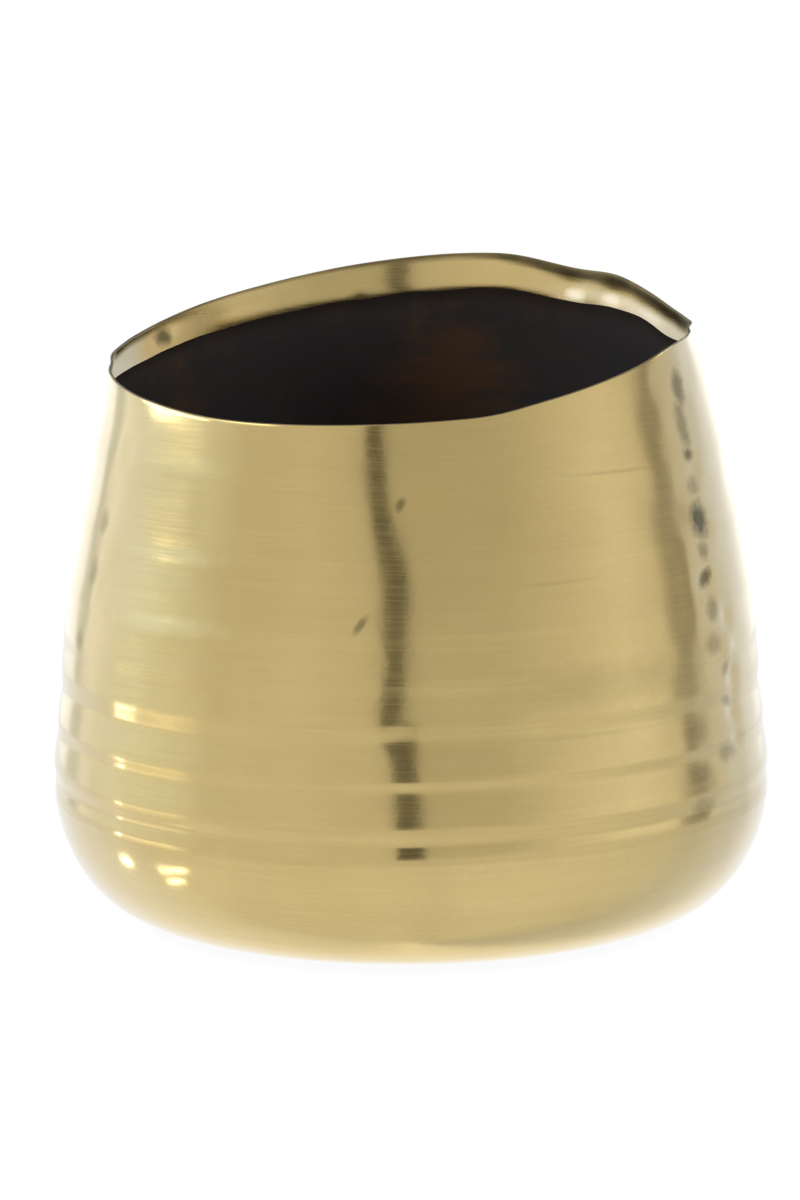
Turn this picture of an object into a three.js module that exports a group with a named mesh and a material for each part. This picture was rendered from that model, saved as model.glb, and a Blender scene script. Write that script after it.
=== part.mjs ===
// Brass planter pot: a thin vessel spun from one disc of sheet, its mouth cut on a slant and
// tapped into a wavy lip, with a dark waterproof lining inside and felt pads under the base.
// Millimetres, +Z up. The origin is on the pot's axis at the level the pads stand on.
// The low side of the mouth faces -Y and the pinched end of the mouth faces +X.

import * as THREE from 'three';
import { mergeVertices } from 'three/addons/utils/BufferGeometryUtils.js';

// ---- Driving dimensions ----

const SEGMENTS = 64;            // facets round the pot
const PAD_SEGMENTS = 20;

const SHEET = 1;                // brass sheet
const BASE_RADIUS = 74.5;       // flat of the base
const BELLY_RADIUS = 101.7;     // widest ring
const BELLY_HEIGHT = 38;        // widest ring above the base underside
const CONE_RADIUS = 96;         // ring where the straight leaning wall begins
const CONE_HEIGHT = 95;
const CONE_RUN = 20;            // spacing of rings on the straight wall
const WALL_LEAN = THREE.MathUtils.degToRad(12);
const MOUTH_HEIGHT = 162;       // mouth of the blank, before the slanted cut

const PINCH_DEPTH = 2.7;        // inward dent of the mouth's +X end
const PINCH_ANGLE = -4;         // degrees from +X
const PINCH_WIDTH = 17;         // degrees each side
const PINCH_DROP = 10;          // the dent fades by a factor of e over this height
const FRONT_FLARE = 0.3;        // outward turn of the edge at the low side
const REAR_FLARE = 3.3;         // and at the high side
const FLARE_DROP = 11;          // height over which the edge turns
const FLARE_SPREAD = 0.4;       // below 1, the turn stays strong from the high side round to the ends

const LINING_GAP = 0.3;         // between sheet and lining
const LINING_THICKNESS = 0.5;
const LINING_DROP = 8;          // polished band left bare below the edge

const PAD_RADIUS = 8;
const PAD_HEIGHT = 2;
const PAD_CHAMFER = 0.4;
const PAD_RING_RADIUS = 56;     // pad centres from the axis
const PAD_COUNT = 4;
const ADHESIVE = 0.1;           // film between pad and base

const BASE_LEVEL = PAD_HEIGHT + ADHESIVE;

// Hand-cut edge of the mouth: direction in degrees from +X towards +Y, height above the base.
const EDGE_POINTS = [
  [-162, 151.5], [-121, 145.5], [-78, 147.1], [-64, 150.8], [-45, 156.7], [-28, 161.8],
  [0, 163.3], [20, 165.2], [40, 173.6], [52, 175.2], [70, 179.1], [97, 176.5],
  [130, 168.1], [162, 158.5],
];

// Hollows and swells of the wall between belly and cone: radius, height above the base.
const WAIST_POINTS = [[101, 48], [99.4, 62], [98.1, 78]];

// ---- Materials ----

const brass = new THREE.MeshStandardMaterial({ color: 0xc4ae74, roughness: 0.28, metalness: 1 });
const lacquer = new THREE.MeshStandardMaterial({ color: 0x1c1917, roughness: 0.4, metalness: 0 });
const felt = new THREE.MeshStandardMaterial({ color: 0x4a3d30, roughness: 0.95, metalness: 0 });

// ---- Outline of the outside, from the centre of the base up to the mouth ----

function coneRadius(height) {
  return CONE_RADIUS - (height - CONE_HEIGHT) * Math.tan(WALL_LEAN);
}

function cornerPoints(steps) {
  const reach = BELLY_RADIUS - BASE_RADIUS;
  const corner = new THREE.EllipseCurve(
    BASE_RADIUS, BELLY_HEIGHT, reach, BELLY_HEIGHT, -Math.PI / 2, 0);
  return corner.getPoints(steps);
}

function waistPoints(steps) {
  const waist = new THREE.SplineCurve([
    new THREE.Vector2(BELLY_RADIUS, BELLY_HEIGHT),
    ...WAIST_POINTS.map(([radius, height]) => new THREE.Vector2(radius, height)),
    new THREE.Vector2(CONE_RADIUS, CONE_HEIGHT),
    new THREE.Vector2(coneRadius(CONE_HEIGHT + CONE_RUN), CONE_HEIGHT + CONE_RUN),
  ]);
  return waist.getPoints(steps).slice(1);
}

const LINING_TOP = MOUTH_HEIGHT - LINING_DROP;
const coneHeights = [
  LINING_TOP - CONE_RUN, MOUTH_HEIGHT - FLARE_DROP, LINING_TOP,
  MOUTH_HEIGHT - LINING_DROP / 2, MOUTH_HEIGHT - LINING_DROP / 6, MOUTH_HEIGHT,
];
const outline = [
  new THREE.Vector2(0, 0),
  ...cornerPoints(6),
  ...waistPoints(7),
  ...coneHeights.map((height) => new THREE.Vector2(coneRadius(height), height)),
];

// The same outline moved towards the inside by a sheet thickness or a gap.
function insetOutline(points, distance) {
  return points.map((point, i) => {
    if (i === 0) {
      return new THREE.Vector2(0, distance);
    }
    const before = points[i - 1];
    const after = points[Math.min(i + 1, points.length - 1)];
    const along = after.clone().sub(before).normalize();
    return new THREE.Vector2(point.x - along.y * distance, point.y + along.x * distance);
  });
}

// ---- The slanted, tapped mouth ----

// Smooth closed curve through the edge points, as height against direction.
function edgeHeight(direction) {
  const count = EDGE_POINTS.length;
  const knot = (i) => {
    const turn = Math.floor(i / count);
    const [angle, height] = EDGE_POINTS[i - turn * count];
    return { angle: angle + 360 * turn, height };
  };
  const slope = (i) => {
    const before = knot(i - 1);
    const after = knot(i + 1);
    return (after.height - before.height) / (after.angle - before.angle);
  };
  let i = -1;
  while (knot(i + 1).angle <= direction) {
    i += 1;
  }
  const start = knot(i);
  const end = knot(i + 1);
  const span = end.angle - start.angle;
  const t = (direction - start.angle) / span;
  return start.height * (1 + 2 * t) * (1 - t) ** 2
    + end.height * t * t * (3 - 2 * t)
    + slope(i) * span * t * (1 - t) ** 2
    - slope(i + 1) * span * t * t * (1 - t);
}

function mouthPush(direction, depth) {
  const nearPinch = Math.exp(-(((direction - PINCH_ANGLE) / PINCH_WIDTH) ** 2));
  const pinch = PINCH_DEPTH * nearPinch * Math.exp(-depth / PINCH_DROP);
  const highSide = Math.max(0, Math.sin(THREE.MathUtils.degToRad(direction)));
  const flare = THREE.MathUtils.lerp(FRONT_FLARE, REAR_FLARE, highSide ** FLARE_SPREAD);
  return flare * Math.max(0, 1 - depth / FLARE_DROP) - pinch;
}

// Stretches the wall above the cone's foot along its own slope up to the cut edge.
function shapeMouth(geometry) {
  const position = geometry.getAttribute('position');
  for (let i = 0; i < position.count; i += 1) {
    const x = position.getX(i);
    const y = position.getY(i);
    const z = position.getZ(i);
    if (z > CONE_HEIGHT) {
      const direction = THREE.MathUtils.radToDeg(Math.atan2(y, x));
      const edge = edgeHeight(direction);
      const share = (z - CONE_HEIGHT) / (MOUTH_HEIGHT - CONE_HEIGHT);
      const rise = share * (edge - MOUTH_HEIGHT);
      const depth = Math.max(0, edge - z - rise);
      const radius = Math.hypot(x, y);
      const newRadius = radius - rise * Math.tan(WALL_LEAN) + mouthPush(direction, depth);
      position.setXYZ(i, x * newRadius / radius, y * newRadius / radius, z + rise);
    }
  }
  return geometry;
}

// ---- Pieces ----

// Turns a profile about +Z into one closed body with shared vertices.
function turn(profile, segments) {
  const geometry = new THREE.LatheGeometry(profile, segments);
  geometry.rotateX(Math.PI / 2);
  geometry.deleteAttribute('normal');
  geometry.deleteAttribute('uv');
  return mergeVertices(geometry);
}

function vesselShell() {
  const inside = insetOutline(outline, SHEET);
  const geometry = shapeMouth(turn([...outline, ...inside.reverse()], SEGMENTS));
  const mesh = new THREE.Mesh(geometry, brass);
  mesh.name = 'vessel_shell';
  return mesh;
}

function waterproofLining() {
  const lined = outline.filter((point) => point.y <= LINING_TOP);
  const outside = insetOutline(lined, SHEET + LINING_GAP);
  const inside = insetOutline(lined, SHEET + LINING_GAP + LINING_THICKNESS);
  const geometry = shapeMouth(turn([...outside, ...inside.reverse()], SEGMENTS));
  const mesh = new THREE.Mesh(geometry, lacquer);
  mesh.name = 'waterproof_lining';
  return mesh;
}

function feltPad(number) {
  const geometry = turn([
    new THREE.Vector2(0, 0),
    new THREE.Vector2(PAD_RADIUS - PAD_CHAMFER, 0),
    new THREE.Vector2(PAD_RADIUS, PAD_CHAMFER),
    new THREE.Vector2(PAD_RADIUS, PAD_HEIGHT),
    new THREE.Vector2(0, PAD_HEIGHT),
  ], PAD_SEGMENTS);
  const mesh = new THREE.Mesh(geometry, felt);
  const direction = (number - 0.5) * 2 * Math.PI / PAD_COUNT;
  mesh.position.set(PAD_RING_RADIUS * Math.cos(direction), PAD_RING_RADIUS * Math.sin(direction), 0);
  mesh.name = `felt_pad_${number}`;
  return mesh;
}

// ---- Assembly ----

const vessel = new THREE.Group();
vessel.position.z = BASE_LEVEL;
vessel.add(vesselShell(), waterproofLining());

const group = new THREE.Group();
group.add(vessel);
for (let number = 1; number <= PAD_COUNT; number += 1) {
  group.add(feltPad(number));
}

export default group;
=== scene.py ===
import math

import bpy
import numpy as np
from mathutils import Matrix, Vector
from mathutils.bvhtree import BVHTree


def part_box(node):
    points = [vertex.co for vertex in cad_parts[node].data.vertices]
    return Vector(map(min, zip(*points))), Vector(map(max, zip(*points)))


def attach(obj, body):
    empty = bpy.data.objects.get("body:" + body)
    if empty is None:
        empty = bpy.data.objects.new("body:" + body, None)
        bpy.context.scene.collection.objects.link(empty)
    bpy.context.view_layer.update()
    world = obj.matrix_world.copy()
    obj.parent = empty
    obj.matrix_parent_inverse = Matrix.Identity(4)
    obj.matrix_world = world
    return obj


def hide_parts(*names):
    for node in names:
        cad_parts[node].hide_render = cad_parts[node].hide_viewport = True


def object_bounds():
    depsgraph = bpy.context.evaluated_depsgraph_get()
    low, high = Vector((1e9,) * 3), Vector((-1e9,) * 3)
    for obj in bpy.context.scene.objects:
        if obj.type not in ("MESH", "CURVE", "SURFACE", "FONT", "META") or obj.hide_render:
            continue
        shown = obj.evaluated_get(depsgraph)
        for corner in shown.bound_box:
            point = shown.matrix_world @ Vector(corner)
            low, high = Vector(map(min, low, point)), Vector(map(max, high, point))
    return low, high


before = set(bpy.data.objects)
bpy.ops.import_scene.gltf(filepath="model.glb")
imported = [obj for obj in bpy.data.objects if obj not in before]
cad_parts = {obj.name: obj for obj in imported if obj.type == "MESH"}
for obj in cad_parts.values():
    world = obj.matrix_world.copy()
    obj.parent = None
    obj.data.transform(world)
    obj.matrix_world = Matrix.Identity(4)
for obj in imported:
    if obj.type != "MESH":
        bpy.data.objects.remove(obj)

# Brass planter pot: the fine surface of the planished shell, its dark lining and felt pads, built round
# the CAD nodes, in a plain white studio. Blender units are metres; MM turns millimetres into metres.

MM = 0.001
CAD_LOW, CAD_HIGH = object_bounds()
BASE_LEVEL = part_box("vessel_shell")[0].z / MM

# ---------------------------------------------------------------- driving values

# mesh
COLUMNS = 400
WALL_STEP = 1.35 * MM         # spacing of rings on the outside, away from the ridges
RIDGE_OFFSETS = (0.15, 0.35, 0.65, 1.05)   # mm, extra rings at each side of a ridge
EDGE_ROUND_STEPS = 6
BARE_DEPTH, BARE_STEP = 14, 0.8            # mm, close rings inside from the edge down to this depth
COVERED_RINGS = 26                         # wide rings from there down, behind the lining
LOWEST_COVERED = 8 * MM                    # the last of them, as a distance up the outline

# radii in mm that turn directions into distances: of the whole body, the wall, the wall's dents, the mouth
# and the lining behind it
BODY_RADIUS, WALL_RADIUS, DENT_RADIUS, MOUTH_RADIUS, LINING_RADIUS = 98, 95, 90, 82, 85
LUMP_ROWS = 64                # rows of the random lattice behind every lump

# sheet and lining
SHEET = 1 * MM
LINING_SPACE = 0.04 * MM      # lining's outer face in front of the sheet's inner face
LINING_FADE = [0, 4.5, 30]    # mm below its top edge at which the lining has these thicknesses
LINING_THICKNESS = [0.02, 0.2, 0.8]
LINING_RIM = 4 * MM           # reach of the dark brown shade painted along its top edge
HIDDEN_INSET = 0.6            # of the sheet: its inner face where the lining covers it

# felt pads
PAD_COLUMNS = 72
PAD_SOFT_EDGE = 0.35 * MM
PAD_WOBBLE = 0.03 * MM        # how uneven a pad's side is
PAD_SEED = 50

# planishing: ridges run round the wall with a hollow between each two, deepest on a valley line.
# Heights in mm above the base; depths in mm.
RIDGES = [32.5, 43.1, 54.9, 69.4, 80.5, 92, 111, 132, 152]
VALLEYS = [38.1, 51.5, 64.2, 76, 87, 102, 122, 143]
VALLEY_DEPTHS = [0.80, 0.60, 0.55, 0.15, 0.16, 0.32, 0.30, 0.18]
CREASED = 4                                # the lowest hollows have a rounded ridge and a creased valley
SOFT_RIDGES = 2                            # the highest ridges need no extra rings
FOLD = 0.8                                 # mm either side over which ridges and valleys are rounded
LIPS = [(32.5, 0.05)]                      # burrs raised along ridges: height on the wall, and mm proud
LIP_WIDTH = 0.45
RIDGE_WANDER = 0.9                         # mm

# the hand-made wall is not quite round: it is fuller left of the front and flatter right of it,
# more so higher up
SKEW_HEIGHTS = [35, 60, 72, 80, 101, 130, 165]
SKEW_SLOPES = [0.0, 0.029, 0.055, 0.040, 0.035, 0.091, 0.11]
SKEW_CENTRE, SKEW_REACH = -6, 24           # mm right of the front
# the hollows are shallower round one direction, by this share and over this reach in radians
SHALLOW_DIRECTION, SHALLOWER, SHALLOW_REACH = math.radians(-50), 0.3, 0.45

# loose dents (or bulges, where the depth is below 0): direction in degrees from +X towards +Y, height,
# half width, half height and depth in mm
DENTS = [
    (-91, 67, 3.5, 3.5, 0.10), (-95, 86, 3, 3, 0.06),
    (-150, 128, 6, 6, 0.15), (-146, 104, 6, 6, 0.15), (-152, 84, 6, 6, 0.15),
    (53, 170.0, 5.5, 4.2, -0.70), (42, 168.0, 5.0, 4.2, -0.75), (28, 163.0, 8.0, 4.5, -0.35),
    (147, 157, 4.0, 3.5, 0.45), (100.5, 169, 2.6, 2.2, 0.20), (-140, 150, 12, 5.0, 1.0),
    (-134, 106, 12, 4.0, -0.35), (-134, 88, 12, 4.0, -0.35), (-136, 97, 8, 3.0, -0.12),
    (-27.5, 88, 3.2, 3.2, 0.50), (-28.5, 80, 3.0, 3.0, -0.35), (-27.0, 71.5, 3.2, 3.4, 0.60),
    (-27.5, 62.5, 3.2, 3.2, 0.60), (-27.0, 54.5, 3.4, 2.6, 0.50), (-29.5, 113, 4.0, 4.5, 0.45),
    (-33.0, 99, 3.4, 3.0, 0.45), (-29.5, 128, 3.5, 4.0, 0.35),
]
# the strip inside the edge on which a dark reflection is painted, on a duller finish: its depth in mm against
# direction
STRIP_DIRECTIONS = [0, 8, 25, 50, 68, 82, 96, 150, 360]
STRIP_DEPTHS = [0.2, 1.5, 2.4, 2.3, 1.4, 0.6, 0.2, 0.0, 0.0]
# the rubbed, hazy ends of the bare band inside the mouth, duller and less metallic, with a pale sheen painted
# on them: strength against direction
HAZE_AND_SHEEN_DIRECTIONS = [0, 35, 52, 66, 132, 146, 166, 215, 225, 335, 360]
HAZE_AND_SHEEN_SHARES = [0.9, 0.75, 0.20, 0.0, 0.0, 0.80, 0.95, 0.95, 0.0, 0.0, 0.9]
# highlights painted on it as white spots, also duller: direction, depth under the edge, half width and half
# height in mm
PAINTED_HIGHLIGHT_SPOTS = [(51.5, 6.2, 4.0, 1.4), (42, 6.0, 4.6, 1.7), (30, 5.6, 8.0, 1.6)]
# patches of close hammer marks: middle direction and half width in degrees, and mark height in mm
MARKED = [(-34, 13, 0.14), (-143, 19, 0.14), (-90, 9, 0.035)]

# camera
CAMERA_DISTANCE = 1.0
CAMERA_HEIGHT = 0.250          # above the underside of the brass base
CAMERA_PITCH = math.radians(9.32)
CAMERA_YAW = math.radians(0.156)
CAMERA_ROLL = math.radians(0.5)
FOCAL_SHARE = 3566 / 1200      # focal length as a share of the frame's height
SENSOR = 36.0


# ---------------------------------------------------------------- reading the CAD shell

def cad_rings(node):
    """The outside of a turned CAD node, from its base up: radius and height of each ring in each column."""
    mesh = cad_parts[node].data
    corners = [v.co for v in mesh.vertices]
    tree = BVHTree.FromPolygons(corners, [tuple(p.vertices) for p in mesh.polygons])
    points = np.array(corners)
    points = np.unique(np.round(points, 7), axis=0)
    radius = np.hypot(points[:, 0], points[:, 1])
    points = points[radius > MM]
    direction = np.arctan2(points[:, 1], points[:, 0])
    lowest = points[:, 2] < points[:, 2].min() + 0.01 * MM
    count = int(lowest.sum())
    column = np.round(direction / (2 * math.pi / count)).astype(int) % count
    middle = (points[:, 2].min() + points[:, 2].max()) / 2

    radii, heights = [], []
    for c in range(count):
        chain = []
        for x, y, z in points[column == c]:
            r = math.hypot(x, y)
            outward = (x / r, y / r, 0)
            start = (x + outward[0] * 0.2 * MM, y + outward[1] * 0.2 * MM, z)
            if tree.ray_cast(start, outward)[0] is None:
                chain.append((math.atan2(z - middle, r), r, z))
        chain.sort()
        radii.append([r for _, r, _ in chain])
        heights.append([z for _, _, z in chain])
    return np.array(radii).T, np.array(heights).T


def column_directions(columns):
    return np.arange(columns) * 2 * math.pi / columns


def wrapped(angle):
    """The angle in radians, brought into -pi to pi."""
    return (angle + math.pi) % (2 * math.pi) - math.pi


def around(grid, count):
    """Smooth periodic interpolation of each ring to more columns."""
    spectrum = np.fft.rfft(grid, axis=1)
    return np.fft.irfft(spectrum, n=count, axis=1) * (count / grid.shape[1])


def along(grid, at, new_at):
    """Cubic interpolation in each column from rings at distances `at` up the outline to its own `new_at`."""
    slope = np.gradient(grid, at, axis=0)
    i = np.clip(np.searchsorted(at, new_at, side="right") - 1, 0, len(at) - 2)
    column = np.arange(grid.shape[1])[None, :]
    span = at[i + 1] - at[i]
    t = (new_at - at[i]) / span
    low, high, leave, arrive = grid[i, column], grid[i + 1, column], slope[i, column], slope[i + 1, column]
    return (low * (1 + 2 * t) * (1 - t) ** 2 + high * t * t * (3 - 2 * t)
            + leave * span * t * (1 - t) ** 2 - arrive * span * t * t * (1 - t))


class Wall:
    """The smooth outside of the shell, as radius and height against column and distance up the outline."""

    def __init__(self, node, columns):
        radii, heights = cad_rings(node)
        flat_r, flat_z = radii[:1] * 0.75, heights[:1]
        self.radii = around(np.vstack([flat_r, radii]), columns)
        self.heights = around(np.vstack([flat_z, heights]), columns)
        steps = np.hypot(np.diff(self.radii, axis=0), np.diff(self.heights, axis=0)).mean(axis=1)
        self.at = np.concatenate([[0], np.cumsum(steps)]) - steps[0]
        self.length = self.at[-1]
        self.base = self.heights[0].min()
        self.columns = columns

    def surface(self, at):
        """Radius, height and outward normal (radial, vertical) at each column's distances up the outline."""
        e = 0.05 * MM
        r, z = along(self.radii, self.at, at), along(self.heights, self.at, at)
        dr = along(self.radii, self.at, at + e) - along(self.radii, self.at, at - e)
        dz = along(self.heights, self.at, at + e) - along(self.heights, self.at, at - e)
        size = np.hypot(dr, dz)
        return r, z, dz / size, -dr / size


# ---------------------------------------------------------------- the planished surface

def lumps(direction, height, across, up, seed):
    """Smooth random field from -1 to 1, lumps about `across` by `up` mm on the wall; closes round the pot."""
    rng = np.random.default_rng(seed)
    turns = max(3, round(2 * math.pi * BODY_RADIUS / across))
    lattice = rng.uniform(-1, 1, (turns, LUMP_ROWS))
    u = (direction / (2 * math.pi) % 1) * turns
    v = np.clip(height / up + 4, 0, LUMP_ROWS - 2)
    i, j = np.floor(u).astype(int), np.floor(v).astype(int)
    s, t = u - i, v - j
    s, t = s * s * (3 - 2 * s), t * t * (3 - 2 * t)
    i0, i1 = i % turns, (i + 1) % turns
    low = lattice[i0, j] * (1 - s) + lattice[i1, j] * s
    high = lattice[i0, j + 1] * (1 - s) + lattice[i1, j + 1] * s
    return low * (1 - t) + high * t


def ridge_wander(direction, height):
    """How far the ridges stray down from their nominal height, in mm; none at the base and the mouth."""
    share = np.clip((height - 12) / 18, 0, 1) * np.clip((165 - height) / 25, 0, 1)
    stray = RIDGE_WANDER * lumps(direction, height, 110, 60, 1) + 0.3 * lumps(direction, height, 33, 30, 2)
    return stray * share


def hollows(h, bands):
    """The ridge and valley section, folded smoothly, with each hollow's depth scaled by bands."""
    section = np.zeros_like(h)
    reach = np.linspace(-1, 1, 5)
    weights = 1 - np.abs(reach) * 0.7
    for number, depth in enumerate(VALLEY_DEPTHS):
        heights = [RIDGES[number], VALLEYS[number], RIDGES[number + 1]]
        for shift, weight in zip(reach * FOLD, weights / weights.sum()):
            share = np.interp(h + shift, heights, [0, 1, 0])
            share = share ** (1.8 if number == 0 else 1.4) if number < CREASED else 1 - (1 - share) ** 2
            section -= weight * bands[number] * depth * share
    return section


def planishing(direction, height):
    """Height of the worked surface above the smooth one, in mm. Height is mm above the base."""
    h = height + ridge_wander(direction, height)
    shallow = 1 - SHALLOWER * np.exp(-((wrapped(direction - SHALLOW_DIRECTION) / SHALLOW_REACH) ** 2))
    bands = [shallow * (1 + 0.3 * lumps(direction, height * 0 + ridge, 60, 20, 20 + number))
             for number, ridge in enumerate(VALLEYS)]
    rise = hollows(h, bands)
    for ridge, proud in LIPS:
        broken = np.clip(0.8 + 0.5 * lumps(direction, height * 0, 25, 20, 40 + int(ridge)), 0, 1.2)
        rise += proud * broken * np.exp(-0.5 * ((h - ridge) / LIP_WIDTH) ** 2)
    hammered = 0.10 * lumps(direction, height, 34, 26, 11) + 0.05 * lumps(direction, height, 15, 11, 12)
    for middle, half_width, deep in MARKED:
        turn = wrapped(direction - math.radians(middle))
        share = np.exp(-((turn / math.radians(half_width)) ** 2))
        hammered = hammered + deep * share * lumps(direction, height, 8, 9, 13)
    rise += hammered * np.clip((height - 12) / 25, 0, 1)
    for angle, centre, half_width, half_height, depth in DENTS:
        turn = wrapped(direction - math.radians(angle))
        aside = turn * DENT_RADIUS / half_width
        rise -= depth * np.exp(-(aside ** 2) - ((height - centre) / half_height) ** 2)
    aside = wrapped(direction + math.pi / 2) * WALL_RADIUS - SKEW_CENTRE
    slope = np.interp(height, SKEW_HEIGHTS, SKEW_SLOPES)
    rise -= slope * aside * np.exp(-0.5 * (aside / SKEW_REACH) ** 2)
    return rise


def place(direction, r, z):
    return np.stack([r * np.cos(direction), r * np.sin(direction), z], axis=-1)


def turned_mesh(name, rings, bottom, top, masks=None):
    """A closed mesh from rings of points, with a centre point before the first ring and after the last.

    masks names extra values kept on the points for the material: one array of (rings, columns) each.
    """
    rows, columns, _ = rings.shape
    vertices = np.concatenate([rings.reshape(-1, 3), [bottom, top]])
    i, j = np.meshgrid(np.arange(rows - 1), np.arange(columns), indexing="ij")
    k = (j + 1) % columns
    near, far = i * columns, (i + 1) * columns
    quads = np.stack([near + j, near + k, far + k, far + j], axis=-1)
    faces = quads.reshape(-1, 4).tolist()
    first, last = rows * columns, rows * columns + 1
    ring = np.arange(columns)
    nxt = (ring + 1) % columns
    faces += np.stack([nxt, ring, ring * 0 + first], axis=-1).tolist()
    top_row = (rows - 1) * columns
    faces += np.stack([top_row + ring, top_row + nxt, ring * 0 + last], axis=-1).tolist()
    mesh = bpy.data.meshes.new(name)
    mesh.from_pydata(vertices.tolist(), [], faces)
    mesh.update()
    mesh.polygons.foreach_set("use_smooth", [True] * len(mesh.polygons))
    for mask, values in (masks or {}).items():
        layer = mesh.attributes.new(mask, "FLOAT", "POINT")
        layer.data.foreach_set("value", np.concatenate([values.ravel(), [0, 0]]))
    obj = bpy.data.objects.new(name, mesh)
    bpy.context.scene.collection.objects.link(obj)
    return obj


def worked_points(wall, at, inset):
    """Points of the worked sheet at each column's distances up the outline, moved inwards by inset."""
    r, z, nr, nz = wall.surface(at)
    direction = np.broadcast_to(column_directions(wall.columns), r.shape)
    lift = planishing(direction, (z - wall.base) / MM) * MM - inset
    return place(direction, r + nr * lift, z + nz * lift)


def ring_distances(wall, edge):
    """Distances up the outline of the outside rings: even, and denser beside the ridges."""
    sample = np.linspace(0, edge, 800)
    height = (wall.surface(np.repeat(sample[:, None], wall.columns, axis=1))[1].mean(axis=1) - wall.base) / MM
    rings = list(np.linspace(0, edge, round(edge / WALL_STEP)))
    for ridge in RIDGES[:-SOFT_RIDGES]:
        centre = np.interp(ridge, height, sample)
        extra = [0] + [side * offset * MM for offset in RIDGE_OFFSETS for side in (-1, 1)]
        rings = [at for at in rings if abs(at - centre) > RIDGE_OFFSETS[-1] * MM + 0.3 * WALL_STEP]
        rings += [centre + offset for offset in extra]
    rings = np.array(sorted(rings))
    stray = ridge_wander(column_directions(wall.columns)[None, :], np.interp(rings, sample, height)[:, None])
    return rings[:, None] - stray * MM


def build_vessel():
    wall = Wall("vessel_shell", COLUMNS)
    edge = wall.length - SHEET / 2
    base_radius = wall.radii[1].min()
    directions = column_directions(COLUMNS)

    def flat(radius, level):
        return place(directions, np.full(COLUMNS, radius), np.full(COLUMNS, level))

    rings = [flat(base_radius * share, wall.base) for share in (0.25, 0.5, 0.75, 0.92)]
    rings += list(worked_points(wall, ring_distances(wall, edge), 0))
    last = np.full((1, COLUMNS), edge)
    nr, nz = wall.surface(last)[2:]
    centre_line = worked_points(wall, last, SHEET / 2)[0]
    first_cut = len(rings)
    for step in range(1, EDGE_ROUND_STEPS):
        turn = math.pi * step / EDGE_ROUND_STEPS
        out, up = math.cos(turn) * SHEET / 2, math.sin(turn) * SHEET / 2
        rings.append(centre_line + place(directions, nr[0] * out - nz[0] * up, nz[0] * out + nr[0] * up))
    inside_at = np.concatenate([
        edge - np.arange(0, BARE_DEPTH, BARE_STEP) * MM,
        np.linspace(edge - (BARE_DEPTH + 2) * MM, LOWEST_COVERED, COVERED_RINGS),
    ])
    first_inside = len(rings)
    inset = np.where(edge - inside_at > (BARE_DEPTH + 1) * MM, HIDDEN_INSET, 1)[:, None] * SHEET
    rings += list(worked_points(wall, np.repeat(inside_at[:, None], COLUMNS, axis=1), inset))
    inner_base = wall.base + HIDDEN_INSET * SHEET
    rings += [flat(base_radius * share, inner_base) for share in (0.95, 0.6, 0.3)]
    rings = np.array(rings)

    # the bare cut edge, painted dark and duller for the dark it mirrors; the painted dark goes on down the
    # inside as a strip near the pinched end
    painted_dark_edge = np.zeros(rings.shape[:2])
    painted_dark_edge[first_cut:first_inside] = 1
    below = (edge - inside_at[:, None]) / MM
    dark_strip_depth = np.interp(np.degrees(directions), STRIP_DIRECTIONS, STRIP_DEPTHS)
    dark_strip_depth = dark_strip_depth + 0.4 * lumps(directions, directions * 0, 12, 20, 61)
    inside = slice(first_inside, first_inside + len(inside_at))
    painted_dark_edge[inside] = np.clip(dark_strip_depth - below + 0.5, 0, 1)
    # the rubbed ends of the bare band, with a painted sheen, and painted highlight spots on them
    rubbed_haze_and_sheen = np.zeros(rings.shape[:2])
    haze_and_sheen_share = np.interp(np.degrees(directions), HAZE_AND_SHEEN_DIRECTIONS, HAZE_AND_SHEEN_SHARES)
    rubbed_haze_and_sheen[inside] = np.clip((below - dark_strip_depth) / 2.5, 0, 1) * haze_and_sheen_share
    for angle, depth, half_width, half_height in PAINTED_HIGHLIGHT_SPOTS:
        aside = (directions - math.radians(angle)) * MOUTH_RADIUS
        spot = np.exp(-((aside / half_width) ** 4) - ((below - depth) / half_height) ** 2)
        rubbed_haze_and_sheen[inside] = np.maximum(rubbed_haze_and_sheen[inside], 0.97 * spot)
    bottom, top = (0, 0, wall.base), (0, 0, inner_base)
    masks = {"painted_dark_edge": painted_dark_edge, "rubbed_haze_and_sheen": rubbed_haze_and_sheen}
    return turned_mesh("brass_vessel", rings, bottom, top, masks), wall


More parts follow.
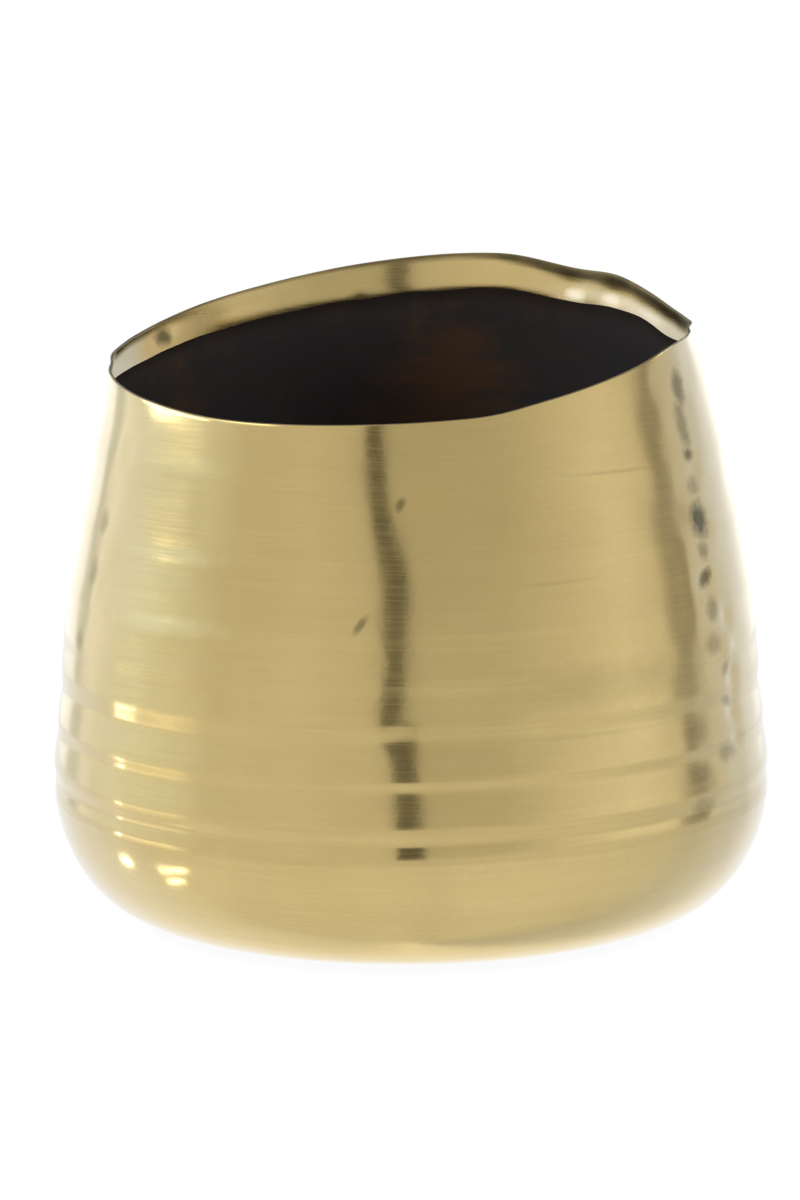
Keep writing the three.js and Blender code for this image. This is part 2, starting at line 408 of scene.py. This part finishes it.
def build_lining(columns=300):
    """The dark coat inside: a thin skin on the wall with a wavering top edge, and the floor."""
    wall = Wall("vessel_shell", columns)
    directions = column_directions(columns)
    base_radius = wall.radii[1].min()
    top_height = around(cad_rings("waterproof_lining")[1][-1:], columns)[0]
    sample = np.linspace(0, wall.length, 400)
    height = wall.surface(np.repeat(sample[:, None], columns, axis=1))[1]
    top_at = np.array([np.interp(top_height[c], height[:, c], sample) for c in range(columns)])
    top_at += 0.35 * MM * lumps(directions, directions * 0, 14, 20, 31)
    top_at += 0.5 * MM * lumps(directions, directions * 0, 60, 20, 32)

    outer = SHEET + LINING_SPACE
    inner = outer + LINING_THICKNESS[-1] * MM
    # closer towards the top edge, with one ring hard against it to keep it crisp
    shares = np.append(np.linspace(0.03, 0.992, 60) ** 0.8, [0.9985, 1])

    def flat(share, depth):
        return place(directions, np.full(columns, base_radius * share), np.full(columns, wall.base + depth))

    rings = [flat(share, outer) for share in (0.4, 0.8)]
    rings += list(worked_points(wall, shares[::3, None] * top_at, outer))
    below = (1 - shares[::-1, None]) * top_at
    thickness = np.interp(below / MM, LINING_FADE, LINING_THICKNESS) * MM
    rings += list(worked_points(wall, shares[::-1, None] * top_at, outer + thickness))
    first_floor = len(rings)
    rings += [flat(share, inner) for share in (0.95, 0.7, 0.35)]
    rings = np.array(rings)
    # shade painted along the top edge, fading out LINING_RIM below it
    margin = np.zeros(rings.shape[:2])
    margin[first_floor - len(shares):first_floor] = np.clip(1 - below / LINING_RIM, 0, 1)
    centres = (0, 0, wall.base + outer), (0, 0, wall.base + inner)
    return turned_mesh("dark_lining", rings, *centres, {"margin": margin})


def build_pad(node, seed):
    """A punched disc of pressed felt, with soft edges and a slightly uneven outline."""
    low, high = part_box(node)
    centre = (low + high) / 2
    radius, height = (high.x - low.x) / 2, high.z - low.z
    columns, soft = PAD_COLUMNS, PAD_SOFT_EDGE
    directions = column_directions(columns)
    rng = np.random.default_rng(seed)
    uneven = 1 - 0.012 * rng.random(columns)
    profile = [(0.45, 0), (0.9, 0)]
    for step in range(1, 5):
        turn = math.pi / 2 * step / 4
        profile.append((1 - soft / radius * (1 - math.sin(turn)), soft / height * (1 - math.cos(turn))))
    profile += [(1, 0.5), (0.995, 0.8), (0.985, 1), (0.6, 1)]
    rings = []
    for share, level in profile:
        r = radius * share * uneven
        wobble = PAD_WOBBLE * rng.uniform(-1, 1, columns) if 0 < level < 1 else 0
        rings.append(place(directions, r + wobble, np.full(columns, low.z + height * level))
                     + [centre.x, centre.y, 0])
    return turned_mesh(node.replace("felt_pad", "pad"), np.array(rings),
                       (centre.x, centre.y, low.z), (centre.x, centre.y, high.z))


# ---------------------------------------------------------------- materials

# dark patches painted on the brass, for dark reflections in its dents and on the mouth's band and for shade
# along ridges:
# direction in degrees from +X towards +Y, height above the base, half width and half height in mm, lean in
# degrees, strength
PAINTED_DARK_PATCHES = [
    (-31.0, 132.5, 2.8, 1.6, 0, 0.85), (-31.3, 115.0, 4.6, 4.4, -25, 1.0), (-31.8, 107.0, 2.8, 2.4, 0, 0.55),
    (-32.7, 99.6, 3.6, 2.0, 20, 0.85), (-31.0, 124.0, 3.0, 2.4, 0, 0.45), (-32.0, 91.0, 3.0, 3.0, 0, 0.5),
    (-31.0, 140.5, 3.2, 6.5, 5, 0.6), (-30.0, 150.0, 3.4, 4.5, 10, 0.75), (-33.0, 82.0, 3.4, 2.6, 0, 0.4),
    (-29.5, 74.5, 2.6, 1.6, 30, 0.45), (-29.5, 65.5, 2.8, 1.4, -20, 0.45), (-30.5, 52.0, 4.5, 2.4, 0, 0.45),
    (-97.6, 94.9, 0.9, 2.6, -35, 0.6), (-91.4, 125.4, 1.1, 1.6, -30, 0.6),
    (-154.6, 114.5, 2.6, 2.8, 0, 0.4), (-155.3, 100.6, 2.6, 3.4, 0, 0.4), (-158.0, 81.6, 2.4, 2.8, 0, 0.4),
    (149.5, 157.5, 4.0, 2.4, 0, 0.9), (-57.0, 77.0, 25.0, 5.0, 0, 0.15),
    (-39.5, 60.0, 4.2, 3.4, 0, 0.35), (-39.5, 48.5, 4.4, 2.6, 0, 0.40), (-39.0, 39.5, 4.8, 2.0, 0, 0.35),
    (-52.0, 131.0, 13.0, 0.5, 0, 0.18), (-66.0, 104.0, 10.0, 0.5, 2, 0.10), (-60.0, 64.0, 20.0, 0.6, 0, 0.10),
]
# pale strips painted as highlights, where the upper ridges on the left mirror a lamp, in the same terms
PAINTED_HIGHLIGHT_STRIPS = [
    (-132.5, 109.6, 17.0, 2.0, 0, 0.26), (-135.5, 103.6, 11.0, 3.0, 0, 0.18),
    (-132.5, 91.6, 17.0, 2.4, 0, 0.32), (-137.0, 97.0, 10.0, 3.0, 0, 0.12),
    (-130.5, 133.0, 12.0, 2.4, 0, 0.14),
]


# colours of the brass, in linear red, green and blue: its base from deep to bright, what drifts over it, a
# painted reflection that pales it where the view grazes it, and colours painted on it for light and shade,
# some on duller finishes
BRASS_DEEP, BRASS_BRIGHT = (0.715, 0.53, 0.20), (0.85, 0.655, 0.27)
BRASS_STREAK, BRASS_CLOUD = (0.74, 0.535, 0.185), (0.68, 0.51, 0.215)
BRASS_LINE, BRASS_GRAIN = (0.92, 0.74, 0.35), (0.60, 0.46, 0.22)
BRASS_GRAZING_REFLECTION = (0.90, 0.82, 0.60)
# the sheen painted on the rubbed ends of the mouth's band: cool at the far left end and on the right, warmer
# between
PAINTED_SHEEN_COOL, PAINTED_SHEEN_WARM = (0.90, 0.84, 0.68), (0.80, 0.59, 0.28)
# painted colours: dark reflection on the cut edge, dark reflections and shade, highlights
PAINTED_EDGE_DARK, PAINTED_DARK_TONE, PAINTED_HIGHLIGHT_TONE = (0.09, 0.072, 0.036), (0.15, 0.125, 0.05), (0.95, 0.86, 0.44)

# the reddish-brown patch on the lining: its middle, in radians and mm above the ground, and its half width
# and half height in mm
BROWN_PATCH_DIRECTION, BROWN_PATCH_HEIGHT = math.radians(80), 143
BROWN_PATCH_HALF_WIDTH, BROWN_PATCH_HALF_HEIGHT = 26, 24
# colours of that patch, and of the shade painted along the lining's top edge
PATCH_BROWN, LINING_TOP_SHADE = (0.043, 0.021, 0.010), (0.008, 0.005, 0.003)


class Nodes:
    """A short way to build a node tree."""

    def __init__(self, tree):
        self.tree = tree
        tree.nodes.clear()

    def add(self, kind, inputs=None, **settings):
        node = self.tree.nodes.new("ShaderNode" + kind)
        for key, value in settings.items():
            setattr(node, key, value)
        for key, value in (inputs or {}).items():
            socket = node.inputs[key]
            if isinstance(value, bpy.types.NodeSocket):
                self.tree.links.new(value, socket)
            else:
                socket.default_value = value
        return node

    def math(self, operation, *values):
        return self.add("Math", dict(enumerate(values)), operation=operation).outputs[0]

    def noise(self, vector, scale, detail=2.0, roughness=0.5):
        inputs = {"Vector": vector, "Scale": scale, "Detail": detail, "Roughness": roughness}
        return self.add("TexNoise", inputs).outputs["Fac"]

    def hypotenuse(self, a, b):
        """The square root of a squared plus b squared."""
        return self.math("SQRT", self.math("ADD", self.math("MULTIPLY", a, a), self.math("MULTIPLY", b, b)))

    def ramp(self, factor, stops):
        node = self.add("ValToRGB", {"Fac": factor})
        elements = node.color_ramp.elements
        while len(elements) < len(stops):
            elements.new(0.5)
        for element, (position, color) in zip(elements, stops):
            element.position = position
            element.color = (*color, 1)
        return node.outputs["Color"]

    def remap(self, value, low, high, new_low, new_high):
        node = self.add("MapRange", {"Value": value, "From Min": low, "From Max": high,
                                     "To Min": new_low, "To Max": new_high})
        return node.outputs[0]

    def mix(self, factor, a, b, mode="MIX"):
        node = self.tree.nodes.new("ShaderNodeMix")
        node.data_type = "RGBA"
        node.blend_type = mode
        for index, value in ((0, factor), (6, a), (7, b)):
            socket = node.inputs[index]
            if isinstance(value, bpy.types.NodeSocket):
                self.tree.links.new(value, socket)
            else:
                socket.default_value = value if index == 0 or len(value) == 4 else (*value, 1)
        return node.outputs[2]

    def combine(self, x, y, z):
        return self.add("CombineXYZ", {0: x, 1: y, 2: z}).outputs[0]

    def link(self, a, b):
        self.tree.links.new(a, b)


def new_material(name):
    material = bpy.data.materials.new(name)
    material.use_nodes = True
    nodes = Nodes(material.node_tree)
    output = nodes.add("OutputMaterial")
    shader = nodes.add("BsdfPrincipled")
    nodes.link(shader.outputs[0], output.inputs[0])
    return material, nodes, shader


def turned_coordinates(nodes):
    """Sockets for a point on a turned piece: direction in radians, radius and height in mm."""
    position = nodes.add("TexCoord").outputs["Object"]
    xyz = nodes.add("SeparateXYZ", {0: position})
    x, y, z = xyz.outputs
    direction = nodes.math("ARCTAN2", y, x)
    radius = nodes.hypotenuse(x, y)
    return position, direction, nodes.math("DIVIDE", radius, MM), nodes.math("DIVIDE", z, MM)


def streaks(nodes, direction, radius, height, along_mm, across_mm, detail=2.0, shift=0.0):
    """Noise drawn out round the pot: streaks about along_mm long and across_mm wide."""
    path = nodes.math("SUBTRACT", height, radius)
    x = nodes.math("MULTIPLY", nodes.math("COSINE", direction), WALL_RADIUS / along_mm)
    y = nodes.math("MULTIPLY", nodes.math("SINE", direction), WALL_RADIUS / along_mm)
    z = nodes.math("ADD", nodes.math("DIVIDE", path, across_mm), shift)
    return nodes.noise(nodes.combine(x, y, z), 1.0, detail)


def marked(nodes, direction, height, position, patches):
    """How much a point is covered by the patches, from 0 to 1, with ragged edges."""
    ragged = nodes.math("MULTIPLY", nodes.math("SUBTRACT", nodes.noise(position, 330, 4, 0.65), 0.5), 1.2)
    cover = None
    for angle, level, half_width, half_height, lean, strength in patches:
        across = nodes.math("MULTIPLY", nodes.math("SUBTRACT", direction, math.radians(angle)), WALL_RADIUS)
        up = nodes.math("SUBTRACT", height, level)
        c, s = math.cos(math.radians(lean)), math.sin(math.radians(lean))
        a = nodes.math("ADD", nodes.math("MULTIPLY", across, c / half_width),
                       nodes.math("MULTIPLY", up, s / half_width))
        b = nodes.math("SUBTRACT", nodes.math("MULTIPLY", up, c / half_height),
                       nodes.math("MULTIPLY", across, s / half_height))
        distance = nodes.math("ADD", nodes.hypotenuse(a, b), ragged)
        one = nodes.remap(distance, 0.5, 1.5, strength, 0)
        cover = one if cover is None else nodes.math("MAXIMUM", cover, one)
    return cover


def brass_material():
    material, nodes, shader = new_material("brushed_brass")
    position, direction, radius, height = turned_coordinates(nodes)

    fine = streaks(nodes, direction, radius, height, 26, 0.30, 3)
    coarse = streaks(nodes, direction, radius, height, 70, 1.6, 3, 40)
    broad = nodes.noise(position, 9, 4, 0.55)
    cloud = nodes.noise(position, 48, 5, 0.6)
    grain = nodes.noise(position, 900, 2)
    base = nodes.math("SUBTRACT", height, BASE_LEVEL)
    # dark reflections and shade painted on the brass
    painted_dark_cover = marked(nodes, direction, base, position, PAINTED_DARK_PATCHES)
    # highlights painted on the brass
    painted_highlight_cover = marked(nodes, direction, base, position, PAINTED_HIGHLIGHT_STRIPS)

    tone = nodes.ramp(broad, [(0.35, BRASS_DEEP), (0.65, BRASS_BRIGHT)])
    tone = nodes.mix(nodes.remap(coarse, 0.35, 0.65, 0, 0.26), tone, BRASS_STREAK)
    tone = nodes.mix(nodes.remap(cloud, 0.42, 0.72, 0, 0.34), tone, BRASS_CLOUD)
    tone = nodes.mix(nodes.remap(fine, 0.35, 0.65, 0, 0.16), tone, BRASS_LINE)
    tone = nodes.mix(nodes.remap(grain, 0.3, 0.7, 0, 0.12), tone, BRASS_GRAIN)
    # painted reflection: the brass is paled towards white where the view grazes it, less on faces turned down
    facing = nodes.add("LayerWeight", {"Blend": 0.32}).outputs["Facing"]
    slope = nodes.add("SeparateXYZ", {0: nodes.add("NewGeometry").outputs["Normal"]}).outputs[2]
    painted_grazing_reflection = nodes.math("MULTIPLY", nodes.remap(facing, 0.25, 0.95, 0, 0.75),
                      nodes.remap(slope, -0.7, -0.15, 0.3, 1))
    tone = nodes.mix(painted_grazing_reflection, tone, BRASS_GRAZING_REFLECTION)
    # rubbed haze: duller and less metallic, paled by a painted sheen and painted highlight spots
    rubbed_haze_and_sheen = nodes.add("Attribute", attribute_name="rubbed_haze_and_sheen").outputs["Fac"]
    rubbed_haze_and_sheen = nodes.math("MULTIPLY", rubbed_haze_and_sheen, nodes.remap(cloud, 0.3, 0.7, 0.8, 1.0))
    side = nodes.add("SeparateXYZ", {0: position}).outputs[0]
    warm = nodes.math("MULTIPLY", nodes.remap(side, -0.080, -0.0755, 0, 1),
                      nodes.remap(side, -0.03, 0.02, 1, 0))
    tone = nodes.mix(rubbed_haze_and_sheen, tone, nodes.mix(warm, PAINTED_SHEEN_COOL, PAINTED_SHEEN_WARM))
    # dark painted on the cut edge and on a strip inside the mouth, for the dark they mirror
    painted_dark_edge = nodes.add("Attribute", attribute_name="painted_dark_edge").outputs["Fac"]
    tone = nodes.mix(nodes.math("MULTIPLY", painted_dark_edge, nodes.remap(cloud, 0.3, 0.7, 1.0, 0.75)), tone, PAINTED_EDGE_DARK)
    # painted highlights
    tone = nodes.mix(painted_highlight_cover, tone, PAINTED_HIGHLIGHT_TONE)
    # painted dark reflections and painted shade
    tone = nodes.mix(painted_dark_cover, tone, PAINTED_DARK_TONE)
    nodes.link(tone, shader.inputs["Base Color"])

    rough = nodes.math("ADD", nodes.remap(fine, 0.3, 0.7, 0.11, 0.18), nodes.remap(cloud, 0.3, 0.8, 0, 0.08))
    rough = nodes.math("ADD", rough, nodes.math("MULTIPLY", nodes.math("MAXIMUM", painted_dark_cover, painted_dark_edge), 0.2))
    rough = nodes.math("ADD", rough, nodes.math("MULTIPLY", rubbed_haze_and_sheen, 0.5))
    rough = nodes.math("MULTIPLY", rough, nodes.remap(base, 34, 48, 0.6, 1))
    nodes.link(rough, shader.inputs["Roughness"])
    dull = nodes.math("MAXIMUM", nodes.math("MAXIMUM", painted_dark_cover, painted_dark_edge), rubbed_haze_and_sheen)
    nodes.link(nodes.remap(dull, 0, 1, 0.6, 0.05), shader.inputs["Coat Weight"])
    nodes.link(nodes.remap(rubbed_haze_and_sheen, 0, 1, 1.0, 0.35), shader.inputs["Metallic"])
    shader.inputs["Anisotropic"].default_value = 0.55
    shader.inputs["Anisotropic Rotation"].default_value = 0.25
    tangent = nodes.add("Tangent", direction_type="RADIAL", axis="Z")
    nodes.link(tangent.outputs[0], shader.inputs["Tangent"])
    shader.inputs["Coat Roughness"].default_value = 0.12
    shader.inputs["Coat IOR"].default_value = 1.5

    lines = nodes.math("ADD", nodes.math("MULTIPLY", fine, 0.0022), nodes.math("MULTIPLY", coarse, 0.008))
    pits = nodes.math("MULTIPLY", nodes.noise(position, 420, 2), 0.011)
    relief = nodes.math("MULTIPLY", nodes.math("ADD", lines, pits), MM)
    bump = nodes.add("Bump", {"Height": relief, "Distance": 1.0, "Strength": 1.0})
    nodes.link(bump.outputs[0], shader.inputs["Normal"])
    nodes.link(bump.outputs[0], shader.inputs["Coat Normal"])
    return material


def lining_material():
    material, nodes, shader = new_material("dark_lacquer")
    position, direction, radius, height = turned_coordinates(nodes)
    patches = nodes.noise(position, 22, 4, 0.6)
    runs = streaks(nodes, direction, radius, height, 30, 5, 3, 12)
    speck = nodes.noise(position, 260, 3)
    tone = nodes.ramp(patches, [(0.0, (0.0150, 0.0145, 0.0145)), (0.52, (0.0165, 0.0150, 0.0145)),
                                (0.66, (0.034, 0.020, 0.011)), (0.8, (0.055, 0.028, 0.012))])
    tone = nodes.mix(nodes.remap(runs, 0.5, 0.75, 0, 0.5), tone, (0.022, 0.017, 0.0145))
    across = nodes.math("MULTIPLY", nodes.math("SUBTRACT", direction, BROWN_PATCH_DIRECTION), LINING_RADIUS)
    across = nodes.math("DIVIDE", across, BROWN_PATCH_HALF_WIDTH)
    up = nodes.math("DIVIDE", nodes.math("SUBTRACT", height, BROWN_PATCH_HEIGHT), BROWN_PATCH_HALF_HEIGHT)
    away = nodes.math("ADD", nodes.hypotenuse(across, up), nodes.math("MULTIPLY", runs, 1.6))
    tone = nodes.mix(nodes.remap(away, 1.1, 1.7, 0.8, 0), tone, PATCH_BROWN)
    # shade painted along the lining's top edge, where it tilts up towards the light
    margin = nodes.add("Attribute", attribute_name="margin").outputs["Fac"]
    tone = nodes.mix(margin, tone, LINING_TOP_SHADE)
    nodes.link(tone, shader.inputs["Base Color"])
    nodes.link(nodes.remap(speck, 0.3, 0.7, 0.5, 0.66), shader.inputs["Roughness"])
    shader.inputs["Specular IOR Level"].default_value = 0.12
    relief = nodes.math("MULTIPLY", nodes.math("ADD", nodes.math("MULTIPLY", speck, 0.03),
                                               nodes.math("MULTIPLY", runs, 0.05)), MM)
    bump = nodes.add("Bump", {"Height": relief, "Distance": 1.0, "Strength": 1.0})
    nodes.link(bump.outputs[0], shader.inputs["Normal"])
    return material


def felt_material():
    material, nodes, shader = new_material("pressed_felt")
    position = nodes.add("TexCoord").outputs["Object"]
    fibres = nodes.noise(position, 2600, 6, 0.7)
    matted = nodes.noise(position, 420, 4, 0.6)
    tone = nodes.ramp(fibres, [(0.3, (0.020, 0.015, 0.011)), (0.7, (0.085, 0.066, 0.048))])
    tone = nodes.mix(nodes.remap(matted, 0.4, 0.7, 0, 0.4), tone, (0.048, 0.036, 0.027))
    nodes.link(tone, shader.inputs["Base Color"])
    shader.inputs["Roughness"].default_value = 0.95
    shader.inputs["Sheen Weight"].default_value = 0.4
    relief = nodes.math("MULTIPLY", nodes.math("ADD", fibres, matted), 0.12 * MM)
    bump = nodes.add("Bump", {"Height": relief, "Distance": 1.0, "Strength": 0.8})
    nodes.link(bump.outputs[0], shader.inputs["Normal"])
    return material


# ---------------------------------------------------------------- studio

# The light tent as the brass mirrors it: linear colours against azimuth, which is in degrees from the
# camera's side (-Y) towards +X. TABLE is the white table top in the same terms.
TENT = [
    (-180, (1.1, 1.1, 1.1)), (-145, (1.0, 1.01, 1.03)), (-140.5, (0.56, 0.59, 0.56)),
    (-135.5, (0.60, 0.63, 0.60)), (-130.5, (0.92, 0.96, 1.03)), (-120, (0.82, 0.88, 1.00)),
    (-110, (0.80, 0.89, 1.06)), (-96, (0.78, 0.87, 1.05)), (-78, (0.71, 0.76, 0.87)),
    (-73, (0.69, 0.72, 0.79)), (-67, (0.63, 0.64, 0.65)), (-50, (0.65, 0.65, 0.655)),
    (-35, (0.68, 0.68, 0.68)), (-9, (0.60, 0.60, 0.60)), (5, (0.51, 0.51, 0.50)),
    (28, (0.51, 0.51, 0.50)), (48, (0.62, 0.62, 0.63)), (74, (0.75, 0.76, 0.79)),
    (87, (0.70, 0.70, 0.72)), (92, (0.66, 0.66, 0.68)), (97, (0.42, 0.42, 0.42)),
    (100, (0.30, 0.30, 0.30)), (106, (0.32, 0.32, 0.32)), (110, (0.60, 0.61, 0.64)),
    (120, (0.58, 0.60, 0.66)), (132, (0.60, 0.64, 0.73)), (146, (0.74, 0.77, 0.84)),
    (157, (1.0, 1.0, 1.0)), (168, (1.1, 1.1, 1.1)),
]
TABLE = [
    (-180, (1.05, 1.05, 1.05)), (-145, (0.97, 0.98, 1.0)), (-120, (0.90, 0.93, 0.98)),
    (-85, (0.80, 0.81, 0.84)), (-50, (0.81, 0.81, 0.82)), (-20, (0.79, 0.79, 0.79)),
    (10, (0.74, 0.74, 0.74)), (60, (0.76, 0.76, 0.77)), (82, (0.70, 0.71, 0.73)),
    (105, (0.62, 0.64, 0.69)), (130, (0.70, 0.73, 0.80)), (155, (0.97, 0.98, 1.0)),
    (175, (1.05, 1.05, 1.05)),
]
TABLE_EDGE = -8.5             # elevation below which the white table is mirrored
TABLE_SHADE = 0.92            # of the table right under the pot
TABLE_HORIZON = 0.88          # of the table far off
TENT_GAIN = (1.14, 1.04)      # the tent is brighter low down
CEILING = (1.15, 1.15, 1.15)
CEILING_FROM, CEILING_TO = 42, 62
SLIT_COLOR = (0.11, 0.11, 0.10)
SLIT_AZIMUTH, SLIT_HALF_WIDTH = 0.0, 3.9      # the dark gap for the lens
# Lamps: azimuth, elevation, half width, half height and softness in degrees, and strength
LAMPS = [
    (-96, -15.5, 18.0, 3.5, 7.0, 0.98), (-92, -12.0, 14.0, 0.9, 9.0, 1.6),
    (-107.5, -12.4, 1.1, 0.8, 2.6, 13.0),
    (-114, -28, 2.3, 1.2, 2.2, 7.0), (-90, -31.5, 7.0, 0.6, 3.0, 6.0), (-94, -36.5, 4.6, 0.6, 3.0, 6.0),
    (-99, 18.5, 12.0, 3.2, 3.5, 5.0),
    (124, 23, 10.0, 5.0, 2.0, 3.0), (-78, 38, 16.0, 6.0, 5.0, 4.0),
]
LOW_TINT = (0.95, 0.92, 0.84)                 # of the window side seen below eye level
LOW_AZIMUTH, LOW_HALF_WIDTH = -100, 33
BACKDROP = (0.10, 0.10, 0.09)
BACKDROP_HALF_WIDTH, BACKDROP_LOW, BACKDROP_HIGH = 9, 2, 75   # the dark room seen over the tent's back

FLOOR_SIZE = 12.0
FLOOR_GAP = 0.05 * MM         # below the pads
CONTACT_SHADOW = 4 * MM       # reach of the shadow under the base

# Softboxes: name, place, size in metres and power in watts
SOFTBOXES = [
    ("overhead_softbox", (-0.1, -0.2, 1.5), (1.3, 0.9), 10.0),
    ("left_softbox", (-0.9, -0.35, 0.55), (0.4, 0.4), 10.0),
    ("right_softbox", (0.9, -0.35, 0.50), (0.4, 0.4), 9.0),
]
SOFTBOX_AIM = Vector((0, 0, 0.16))


def build_world():
    world = bpy.data.worlds.new("light_tent")
    bpy.context.scene.world = world
    world.use_nodes = True
    nodes = Nodes(world.node_tree)
    toward = nodes.add("TexCoord").outputs["Generated"]
    x, y, z = nodes.add("SeparateXYZ", {0: toward}).outputs
    azimuth = nodes.math("DEGREES", nodes.math("ARCTAN2", x, nodes.math("MULTIPLY", y, -1)))
    elevation = nodes.math("DEGREES", nodes.math("ARCSINE", z))
    turn = nodes.remap(azimuth, -180, 180, 0, 1)

    def near(center, half_width, value, soft=0.8):
        """1 within half_width of center, falling to 0 over `soft` degrees."""
        distance = nodes.math("ABSOLUTE", nodes.math("SUBTRACT", value, center))
        return nodes.remap(distance, half_width - soft / 2, half_width + soft / 2, 1, 0)

    light = nodes.ramp(turn, [((a + 180) / 360, color) for a, color in TENT])
    light = nodes.mix(near(SLIT_AZIMUTH, SLIT_HALF_WIDTH, azimuth, 1.2), light, SLIT_COLOR)
    gain = nodes.remap(elevation, TABLE_EDGE, 16, *TENT_GAIN)
    light = nodes.mix(1.0, light, nodes.combine(gain, gain, gain), "MULTIPLY")
    low = nodes.math("MULTIPLY", near(LOW_AZIMUTH, LOW_HALF_WIDTH, azimuth, 12),
                     nodes.remap(elevation, -4, 7, 1, 0))
    light = nodes.mix(1.0, light, nodes.mix(low, (1, 1, 1), LOW_TINT), "MULTIPLY")
    behind = nodes.math("SUBTRACT", 180, nodes.math("ABSOLUTE", azimuth))
    level = (BACKDROP_LOW + BACKDROP_HIGH) / 2
    gap = nodes.math("MULTIPLY", near(0, BACKDROP_HALF_WIDTH, behind, 6),
                     near(level, (BACKDROP_HIGH - BACKDROP_LOW) / 2, elevation, 3))
    light = nodes.mix(gap, light, BACKDROP)
    light = nodes.mix(nodes.remap(elevation, CEILING_FROM, CEILING_TO, 0, 1), light, CEILING)
    table = nodes.ramp(turn, [((a + 180) / 360, color) for a, color in TABLE])
    under = nodes.math("MULTIPLY", nodes.remap(elevation, -85, -45, TABLE_SHADE, 1),
                       nodes.remap(elevation, -34, TABLE_EDGE, 1, TABLE_HORIZON))
    table = nodes.mix(1.0, table, nodes.combine(under, under, under), "MULTIPLY")
    light = nodes.mix(nodes.remap(elevation, TABLE_EDGE - 0.6, TABLE_EDGE + 0.6, 1, 0), light, table)
    for middle, level, half_width, half_height, soft, strength in LAMPS:
        inside = nodes.math("MULTIPLY", near(middle, half_width, azimuth, soft),
                            near(level, half_height, elevation, min(soft, 2 * half_height)))
        light = nodes.mix(inside, light, (strength, strength * 0.99, strength * 0.96))
    camera_ray = nodes.add("LightPath").outputs["Is Camera Ray"]
    studio = nodes.add("Background", {"Color": light, "Strength": 1.0})
    white = nodes.add("Background", {"Color": (1, 1, 1, 1), "Strength": 1.0})
    shader = nodes.add("MixShader", {0: camera_ray, 1: studio.outputs[0], 2: white.outputs[0]})
    output = nodes.add("OutputWorld")
    nodes.link(shader.outputs[0], output.inputs[0])


def build_floor():
    """A pure white floor with a faint contact shadow, seen by the camera only: the brass mirrors TABLE."""
    half = FLOOR_SIZE / 2
    mesh = bpy.data.meshes.new("floor")
    mesh.from_pydata([(-half, -half, 0), (half, -half, 0), (half, half, 0), (-half, half, 0)], [],
                     [(0, 1, 2, 3)])
    floor = bpy.data.objects.new("floor", mesh)
    bpy.context.scene.collection.objects.link(floor)
    floor.location.z = CAD_LOW.z - FLOOR_GAP
    material = bpy.data.materials.new("floor")
    material.use_nodes = True
    nodes = Nodes(material.node_tree)
    clear = nodes.add("BsdfTransparent")
    open_sky = nodes.add("AmbientOcclusion", {"Distance": CONTACT_SHADOW}, samples=16).outputs["AO"]
    shade = nodes.remap(open_sky, 0.0, 0.7, 0.93, 1.0)
    seen = nodes.add("Emission", {"Color": nodes.combine(shade, shade, shade), "Strength": 1.0})
    camera_ray = nodes.add("LightPath").outputs["Is Camera Ray"]
    shader = nodes.add("MixShader", {0: camera_ray, 1: clear.outputs[0], 2: seen.outputs[0]})
    output = nodes.add("OutputMaterial")
    nodes.link(shader.outputs[0], output.inputs[0])
    mesh.materials.append(material)


def build_lights():
    """Soft lights for what the tent's mirror image leaves dark: one overhead, and one from each side
    for the bare band inside the mouth. The brass doesn't mirror them."""
    for name, place_at, size, energy in SOFTBOXES:
        light = bpy.data.lights.new(name, "AREA")
        light.shape = "RECTANGLE"
        light.size, light.size_y = size
        light.energy = energy
        lamp = bpy.data.objects.new(name, light)
        lamp.location = place_at
        lamp.rotation_euler = (SOFTBOX_AIM - lamp.location).to_track_quat("-Z", "Y").to_euler()
        lamp.visible_glossy = False
        bpy.context.scene.collection.objects.link(lamp)


def build_camera(base_level):
    data = bpy.data.cameras.new("camera")
    data.sensor_width = SENSOR
    data.lens = FOCAL_SHARE * SENSOR
    data.clip_start, data.clip_end = 0.05, 50
    camera = bpy.data.objects.new("camera", data)
    camera.location = (0, -CAMERA_DISTANCE, base_level + CAMERA_HEIGHT)
    aim = (Matrix.Rotation(CAMERA_YAW, 4, "Z") @ Matrix.Rotation(math.pi / 2 - CAMERA_PITCH, 4, "X")
           @ Matrix.Rotation(-CAMERA_ROLL, 4, "Z"))
    camera.rotation_euler = aim.to_euler()
    bpy.context.scene.collection.objects.link(camera)
    bpy.context.scene.camera = camera


# ---------------------------------------------------------------- assembly

def carry(piece, material, node):
    piece.data.materials.append(material)
    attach(piece, "root")
    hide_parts(node)


vessel, vessel_wall = build_vessel()
carry(vessel, brass_material(), "vessel_shell")
carry(build_lining(), lining_material(), "waterproof_lining")
felt = felt_material()
pad_nodes = sorted(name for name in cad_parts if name.startswith("felt_pad"))
for number, pad_node in enumerate(pad_nodes):
    carry(build_pad(pad_node, PAD_SEED + number), felt, pad_node)

build_world()
build_floor()
build_lights()
build_camera(vessel_wall.base)
bpy.context.scene.view_settings.view_transform = "Standard"
